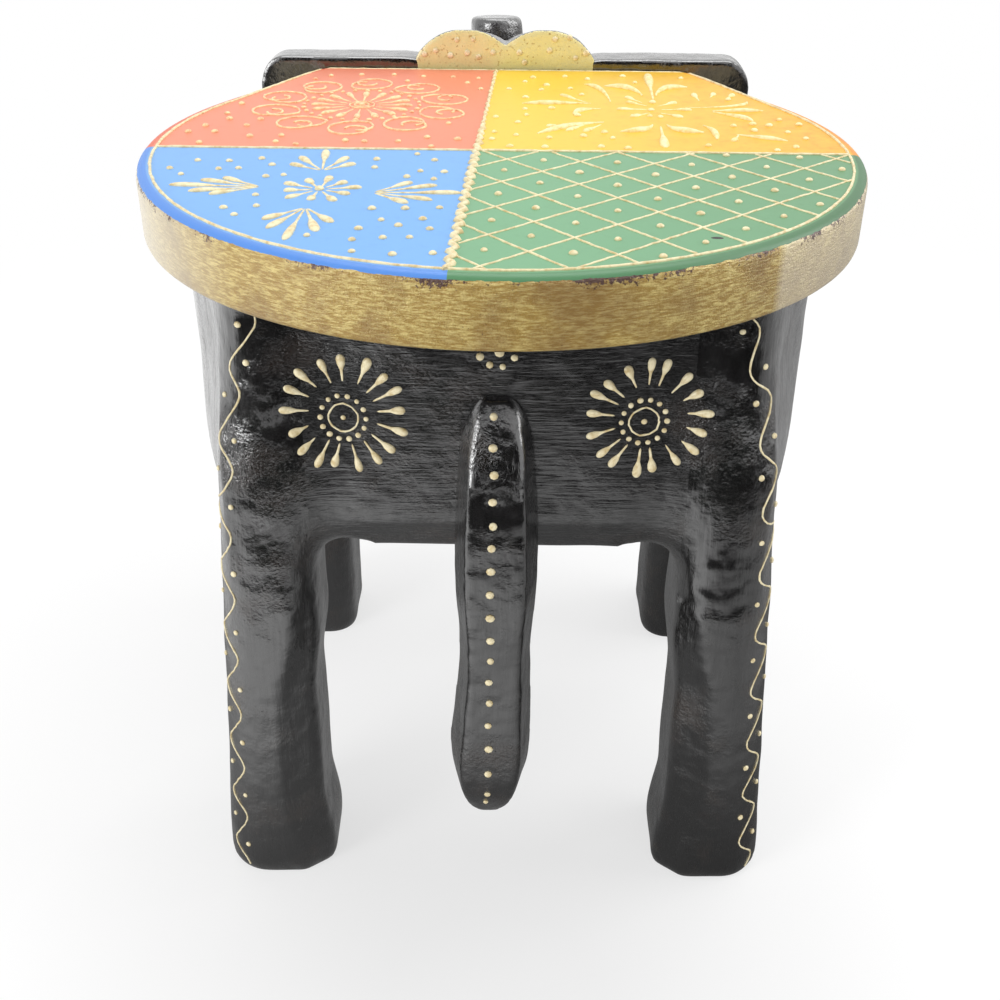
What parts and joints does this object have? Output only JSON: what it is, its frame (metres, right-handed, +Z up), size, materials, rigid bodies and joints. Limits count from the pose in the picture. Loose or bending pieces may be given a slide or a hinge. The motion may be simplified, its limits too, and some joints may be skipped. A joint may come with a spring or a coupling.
{
  "type": "elephant stool",
  "caption": "Low wooden stool carved as a standing elephant: round flat-fronted seat on a barrel body with splayed legs, hanging tail, eared head and raised trunk.",
  "frame": {"origin": "on the floor, under the middle of the overall box", "axes": "+Z up through the seat, +Y the way the elephant looks, +X to the right seen from behind"},
  "size_m": [0.28, 0.3866, 0.298],
  "materials": {
    "painted_seat": "hardwood board; top painted in blue, green, red and yellow fields with raised cream paste lines and dots under gloss varnish; rim gilt with brass paint over rough grain",
    "black_lacquer": "carved hardwood under gloss black lacquer, with raised cream paste ornament",
    "cream_paint": "carved hardwood painted cream",
    "bare_wood": "turned hardwood dowels, unfinished"
  },
  "bodies": {
    "root": {"seat_board": "painted_seat", "body_block": "black_lacquer", "leg_rear_left": "black_lacquer", "leg_rear_right": "black_lacquer", "leg_front_left": "black_lacquer", "leg_front_right": "black_lacquer", "tail": "black_lacquer", "head_block": "black_lacquer", "trunk": "black_lacquer", "ear_left": "black_lacquer", "ear_right": "black_lacquer", "tusk_left": "cream_paint", "tusk_right": "cream_paint", "seat_dowels": "bare_wood", "leg_dowels": "bare_wood", "head_dowels": "bare_wood", "ear_dowels": "bare_wood", "trunk_dowel": "bare_wood", "tail_dowels": "bare_wood"}
  },
  "joints": []
}
